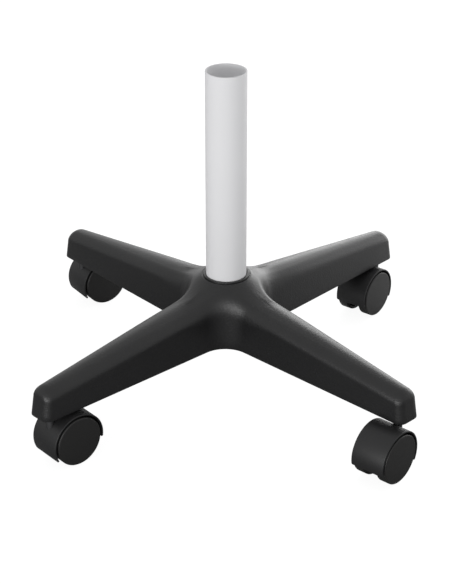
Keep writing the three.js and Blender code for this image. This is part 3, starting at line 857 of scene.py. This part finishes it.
class STAND_OT_clamp(bpy.types.Operator):
    """Make the bolt and the two washers under the socket"""

    bl_idname = "stand.clamp"
    bl_label = "Clamp bolt and washers"

    def execute(self, context):
        column = context.scene.stand_column
        low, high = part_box("clamp_bolt")
        bm = bmesh.new()
        hex_head(bm, column, low.z, low.z + column.bolt_head)
        inside_head = low.z + column.bolt_head * 0.6
        points = shank_points(column, inside_head, high.z, node_low("column_plug").z)
        turn_profile(bm, points, HIDDEN_FACETS)
        closed_normals(bm)
        finish_piece("clamp_bolt_threaded", bm, "zinc_steel", "stand", "clamp_bolt", sharp_deg=25)
        inner, edges, split = column.bolt_r + column.bolt_gap, (0.0002,) * 4, 0.0016
        low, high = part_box("flat_washer")
        points = ring_section(inner, high.x, low.z, high.z, edges)
        bm = turned_solid(points, column.facets, closed=True)
        finish_piece("flat_washer_stamped", bm, "zinc_steel", "stand", "flat_washer")
        low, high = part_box("lock_washer")
        points = ring_section(inner, high.y, low.z, high.z, edges)
        bm = split_ring(points, split / high.y)
        finish_piece("lock_washer_split", bm, "spring_steel", "stand", "lock_washer")
        return {"FINISHED"}


# ---------------- castors


class CastorPlace:
    """Where one castor stands: its stem, its axle and the direction from axle to stem."""

    def __init__(self, number):
        self.name = f"castor_{number}"
        swivel = joint_of(self.name + "_swivel_turn")
        roll = joint_of(self.name + "_right_roll")
        self.stem = Vector((*swivel["pos_m"][:2], 0))
        self.axle = Vector(roll["pos_m"])
        ahead = self.stem - Vector((*roll["pos_m"][:2], 0))
        self.trail = ahead.length
        turn = Matrix.Rotation(math.atan2(ahead.y, ahead.x), 4, "Z")
        self.matrix = Matrix.Translation(self.axle) @ turn
        self.stem_matrix = Matrix.Translation(self.stem)

    def node(self, part):
        return f"{self.name}_{part}"

    def finish(self, bm, part, way, slot, body=None):
        """A piece made about the axle, to ride on a body, or about the stem, to stay put."""
        bmesh.ops.transform(bm, matrix=self.matrix if body else self.stem_matrix, verts=bm.verts)
        node, rides_on = self.node(part), self.node(body) if body else "stand"
        finish_piece(f"{node}_{way}", bm, slot, rides_on, node)


def castors():
    """Every castor's place."""
    return [CastorPlace(number) for number in range(1, LEG_COUNT + 1)]


def along_y(bm):
    """Turns what was spun about Z so that it lies along Y, its top towards -Y."""
    rotate(bm, bm.verts, math.pi / 2, "X")


DOME_STEPS = 8
HOOD_STEPS = 120
WEB_STEPS = 60


def wheel_mesh(castor, side):
    """One wheel about its axle: side 1 is on the -Y side, side -1 on the +Y side."""
    bm = bmesh.new()
    tread = castor.wheel_r
    rim_in = tread - castor.wheel_rim
    outer, inner = castor.wheel_outer, castor.wheel_inner
    back = outer - castor.wheel_face
    edge = outer - castor.wheel_dome
    dome_r = tread * 0.93
    parts = [1 - step / DOME_STEPS for step in range(DOME_STEPS + 1)]
    dome = [(dome_r * part, edge + castor.wheel_dome * (1 - part ** 2)) for part in parts]
    corners = [
        (castor.bore_r, inner), (castor.wheel_hub, inner), (castor.wheel_hub, back),
        (rim_in, back), (rim_in, inner), (tread, inner), (tread, edge), dome[0],
    ]
    radii = (0.0003, 0.0004, 0.0008, 0.0008, 0.0005, 0.0006, castor.wheel_edge, 0)
    bore = [(0, castor.bore_end), (castor.bore_r, castor.bore_end)]
    turn_profile(bm, bore + rounded(corners, radii) + dome[1:], castor.facets)
    half = castor.spoke / 2
    spoke_low = (castor.wheel_hub - half, -half, inner + castor.spoke)
    spoke_high = (rim_in + half, half, back + half)
    for number in range(castor.spokes):
        verts = bar(bm, spoke_low, spoke_high)
        rotate(bm, verts, 2 * math.pi * number / castor.spokes, "Z")
    along_y(bm)
    if side < 0:
        bmesh.ops.scale(bm, vec=(1, -1, 1), verts=bm.verts)
    closed_normals(bm)
    return bm


class STAND_OT_wheels(bpy.types.Operator):
    """Make both wheels of every castor"""

    bl_idname = "stand.wheels"
    bl_label = "Castor wheels"

    def execute(self, context):
        castor = context.scene.stand_castor
        for place in castors():
            for side, word in ((1, "right"), (-1, "left")):
                wheel, roller = "wheel_" + word, word + "_roller"
                place.finish(wheel_mesh(castor, side), wheel, "moulded", "wheel_moulding", roller)
        return {"FINISHED"}


def hood_mesh(castor, trail):
    """A hood about its axle, the stem on the +X side."""
    bm = bmesh.new()
    start, end = -castor.lead, math.pi + castor.trail
    outer, half = castor.hood_outer, castor.hood_half
    edge, inner_edge = castor.hood_edge, 0.0002
    radii = (inner_edge, edge, edge, inner_edge)
    section = ring_section(outer - castor.hood_wall, outer, -half, half, radii, 4)
    verts = [bm.verts.new((radius, side, 0)) for radius, side in section]
    face = bm.faces.new(verts)
    geom = [face, *face.edges, *face.verts]
    rotate(bm, verts, -start, "Y")
    sweep = end - start
    bmesh.ops.spin(bm, geom=geom, axis=(0, -1, 0), angle=sweep, steps=HOOD_STEPS, **ON_AXIS)
    slack = 0.01
    for vert in bm.verts:
        bearing = math.atan2(vert.co.z, vert.co.x)
        if bearing < start - slack:
            bearing += 2 * math.pi
        left = min(bearing - start, end - bearing) * outer
        short = max(castor.hood_corner - left, 0)
        drawn = castor.hood_corner - math.sqrt(max(castor.hood_corner ** 2 - short ** 2, 0))
        vert.co.y *= 1 - drawn / half
    closed_normals(bm)
    hood_web(bm, castor, start, end, trail)
    return bm


def hood_web(bm, castor, start, end, trail):
    """The web between the wheels, with the boss of the axle and the boss of the stem."""
    middle = castor.hood_outer - castor.hood_wall / 2
    half = castor.hood_web / 2
    arc = arc_points(0, 0, middle, start, end, WEB_STEPS)
    rim = [bm.verts.new((x, -half, z)) for x, z in [*arc, (0, -castor.axle_boss_r)]]
    plate = bm.faces.new(rim)
    side = verts_of(bmesh.ops.extrude_face_region(bm, geom=[plate])["geom"])
    bmesh.ops.translate(bm, verts=side, vec=(0, 2 * half, 0))
    core = castor.hood_core
    bore, edges = castor.axle_r + castor.gap, (0.0004,) * 4
    points = ring_section(bore, castor.axle_boss_r, -core, core, edges)
    boss = turn_profile(bm, points, castor.small_facets, closed=True)
    rotate(bm, boss, math.pi / 2, "X")
    low = castor.stem_boss_z - castor.wheel_r
    near = math.sqrt(middle ** 2 - (trail - castor.stem_boss_r) ** 2)
    bore, edges = castor.stem_r + castor.gap, (0.0003,) * 4
    points = ring_section(bore, castor.stem_boss_r, low, near, edges)
    tube = turn_profile(bm, points, castor.small_facets, closed=True)
    bmesh.ops.translate(bm, verts=tube, vec=(trail, 0, 0))
    under_skin = 0.0002
    for vert in tube:
        if vert.co.z > (low + near) / 2:
            skin = math.sqrt(max(middle ** 2 - vert.co.x ** 2, 0))
            vert.co.z = min(vert.co.z, skin - under_skin)
    bmesh.ops.recalc_face_normals(bm, faces=bm.faces)


class STAND_OT_hoods(bpy.types.Operator):
    """Make the hood and the axle of every castor"""

    bl_idname = "stand.hoods"
    bl_label = "Castor hoods and axles"

    def execute(self, context):
        castor = context.scene.stand_castor
        half, edge = castor.axle_half, 0.0006
        axle_points = ring_section(0, castor.axle_r, -half, half, (0, edge, edge, 0), 3)
        for place in castors():
            hood = hood_mesh(castor, place.trail)
            place.finish(hood, "hood", "moulded", "hood_moulding", "swivel")
            axle = turned_solid(axle_points, castor.small_facets)
            along_y(axle)
            place.finish(axle, "axle", "turned", "zinc_steel", "swivel")
        return {"FINISHED"}


def stem_points(castor, place):
    """The stem's profile from its foot to its top, as (radius, height)."""
    low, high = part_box(place.node("stem"))
    clip_low, clip_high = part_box(place.node("stem_clip"))
    ring_low, ring_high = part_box(place.node("grip_ring"))
    stem, neck, gap = castor.stem_r, castor.stem_r - castor.groove, castor.gap
    far = place.trail + castor.shoulder_r
    shoulder_z = castor.wheel_r + math.sqrt(castor.hood_outer ** 2 - far ** 2) + gap
    seat_z = node_low("base").z - gap
    cut = 0.0008
    return [
        (0, low.z), (stem - cut, low.z), (stem, low.z + cut),
        (stem, clip_low.z - gap), (neck, clip_low.z - gap),
        (neck, clip_high.z + gap), (stem, clip_high.z + gap),
        (stem, shoulder_z), (castor.shoulder_r, shoulder_z),
        (castor.shoulder_r, seat_z), (stem, seat_z),
        (stem, ring_low.z - gap), (neck, ring_low.z - gap),
        (neck, ring_high.z + gap), (stem, ring_high.z + gap),
        (stem, high.z - cut), (stem - cut, high.z), (0, high.z),
    ]


def sleeve_points(castor, place):
    """The nylon sleeve's closed section, as (radius, height)."""
    low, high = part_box(place.node("sleeve"))
    ring_low, ring_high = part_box(place.node("grip_ring"))
    flange_r, flange_z = (high.x - low.x) / 2, low.z + castor.flange
    bore, outer, gap = castor.stem_r + castor.gap, castor.sleeve_r, castor.gap
    ring_room, ramp = 0.0019, 0.0009
    recess = castor.stem_r - castor.groove + ring_room
    return [
        (bore, low.z), (flange_r, low.z), (flange_r, flange_z), (outer, flange_z),
        (outer, high.z), (bore, high.z),
        (bore, ring_high.z + ramp), (recess, ring_high.z + gap),
        (recess, ring_low.z - gap), (bore, ring_low.z - ramp),
    ]


class STAND_OT_stems(bpy.types.Operator):
    """Make the stem and the sleeve of every castor, and finish its two spring rings"""

    bl_idname = "stand.stems"
    bl_label = "Castor stems and sleeves"

    def execute(self, context):
        castor = context.scene.stand_castor
        facets = castor.small_facets
        for place in castors():
            stem = turned_solid(stem_points(castor, place), facets)
            place.finish(stem, "stem", "turned", "blacked_steel")
            sleeve = turned_solid(sleeve_points(castor, place), facets, closed=True)
            place.finish(sleeve, "sleeve", "moulded", "sleeve_nylon")
            for part in ("grip_ring", "stem_clip"):
                ring = frame["nodes"][place.node(part)]
                ring.data.materials.clear()
                ring.data.materials.append(finish_named("spring_steel"))
        return {"FINISHED"}


# ---------------- stage


# name, place, what it looks at, width, height, power in watts
LAMPS = (
    ("lamp_back", (-0.25, 1.30, 0.43), (0, 0, 0.43), 1.8, 0.75, 12.0),
    ("lamp_back_left", (-1.1, 0.85, 0.43), (0, 0, 0.43), 1.0, 0.75, 1.3),
    ("lamp_front", (0.55, -1.70, 0.32), (0, 0, 0.12), 1.6, 0.5, 14.8),
    ("lamp_front_right", (1.4, -1.1, 0.32), (0, 0, 0.12), 1.2, 0.5, 2.0),
)
FLOOR_HALF = 6
FLOOR_DROP = 0.0002
# the floor turns from one grey to the other in this direction, within a third of a metre
BACKWARDS = (-0.3, 0.95, 0.0)
CHANGE_PER_METRE = 3.0


def area_lamp(name, location, target, width, height, power):
    """A soft lamp that looks at a point."""
    lamp = bpy.data.lights.new(name, "AREA")
    lamp.shape = "RECTANGLE"
    lamp.size = width
    lamp.size_y = height
    lamp.energy = power
    holder = bpy.data.objects.new(name, lamp)
    bpy.context.scene.collection.objects.link(holder)
    holder.location = location
    aim = Vector(target) - Vector(location)
    holder.rotation_euler = aim.to_track_quat("-Z", "Y").to_euler()


class STAND_OT_stage(bpy.types.Operator):
    """Make the floor, the lamps, the room's light and the camera"""

    bl_idname = "stand.stage"
    bl_label = "Floor, lamps and camera"

    def execute(self, context):
        stage = context.scene.stand_stage
        self.floor(stage)
        self.room(context, stage)
        for lamp in LAMPS:
            area_lamp(*lamp)
        self.camera(context, stage)
        context.scene.view_settings.view_transform = "Standard"
        return {"FINISHED"}

    def floor(self, stage):
        bm = bmesh.new()
        bmesh.ops.create_grid(bm, x_segments=8, y_segments=8, size=FLOOR_HALF)
        mesh = bpy.data.meshes.new("floor")
        bm.to_mesh(mesh)
        bm.free()
        floor = bpy.data.objects.new("floor", mesh)
        bpy.context.scene.collection.objects.link(floor)
        floor.location.z = -FLOOR_DROP
        material, nodes = new_material("floor_white")
        seen = nodes.add("ShaderNodeLightPath", {})
        glow = colour_between(nodes, seen, (0, 0, 0), (0.92, 0.92, 0.92))
        where = object_place(nodes)
        dot = {"operation": "DOT_PRODUCT"}
        behind = nodes.add("ShaderNodeVectorMath", dot, where, BACKWARDS, output=1)
        part = behind.math("MULTIPLY", CHANGE_PER_METRE, clamp=True)
        tone = colour_between(nodes, part, stage.floor, stage.backdrop)
        shown = colour_between(nodes, seen, tone, (0.14, 0.14, 0.14))
        surface(nodes, Base_Color=shown, Roughness=0.9, Emission_Color=glow, Emission_Strength=1.0)
        mesh.materials.append(material)

    def room(self, context, stage):
        world = bpy.data.worlds.new("room")
        context.scene.world = world
        world.use_nodes = True
        nodes = Nodes(world.node_tree)
        seen = nodes.add("ShaderNodeLightPath", {})
        tone = colour_between(nodes, seen, (stage.world,) * 3, (1, 1, 1))
        background = nodes.add("ShaderNodeBackground", {}, Color=tone, Strength=1.0)
        nodes.add("ShaderNodeOutputWorld", {}, Surface=background)

    def camera(self, context, stage):
        camera = bpy.data.cameras.new("camera")
        camera.sensor_width = SENSOR_WIDTH
        camera.lens = stage.focal * SENSOR_WIDTH / PICTURE_HEIGHT
        camera.clip_end = 50
        holder = bpy.data.objects.new("camera", camera)
        context.scene.collection.objects.link(holder)
        tilt = Matrix.Rotation(math.pi / 2 - stage.elevation, 3, "X")
        level = Matrix.Rotation(stage.azimuth, 3, "Z") @ tilt
        place = level @ Vector((stage.aside, 0, stage.distance)) + Vector((0, 0, stage.height))
        turn = level @ Matrix.Rotation(stage.roll, 3, "Z")
        holder.matrix_world = Matrix.Translation(place) @ turn.to_4x4()
        context.scene.camera = holder


class STAND_PT_panel(bpy.types.Panel):
    """Lists the steps that build the stand"""

    bl_label = "Rolling stand"
    bl_idname = "STAND_PT_panel"
    bl_space_type = "VIEW_3D"
    bl_region_type = "UI"
    bl_category = "Stand"

    def draw(self, context):
        for operator in OPERATORS:
            self.layout.operator(operator.bl_idname)
        for name, group in GROUPS.items():
            box = self.layout.box()
            box.label(text=group.__doc__)
            settings = getattr(context.scene, name)
            for key in group.__annotations__:
                box.prop(settings, key)


OPERATORS = (
    STAND_OT_base,
    STAND_OT_column,
    STAND_OT_clamp,
    STAND_OT_stems,
    STAND_OT_hoods,
    STAND_OT_wheels,
    STAND_OT_stage,
)
CLASSES = (*GROUPS.values(), *OPERATORS, STAND_PT_panel)


def register():
    for cls in CLASSES:
        bpy.utils.register_class(cls)
    for name, group in GROUPS.items():
        setattr(bpy.types.Scene, name, PointerProperty(type=group))


def unregister():
    for name in GROUPS:
        delattr(bpy.types.Scene, name)
    for cls in reversed(CLASSES):
        bpy.utils.unregister_class(cls)


def main():
    """Builds every piece in order."""
    register()
    bpy.ops.stand.base()
    bpy.ops.stand.column()
    bpy.ops.stand.clamp()
    bpy.ops.stand.stems()
    bpy.ops.stand.hoods()
    bpy.ops.stand.wheels()
    bpy.ops.stand.stage()
    bpy.context.view_layer.update()


if __name__ == "__main__":
    main()
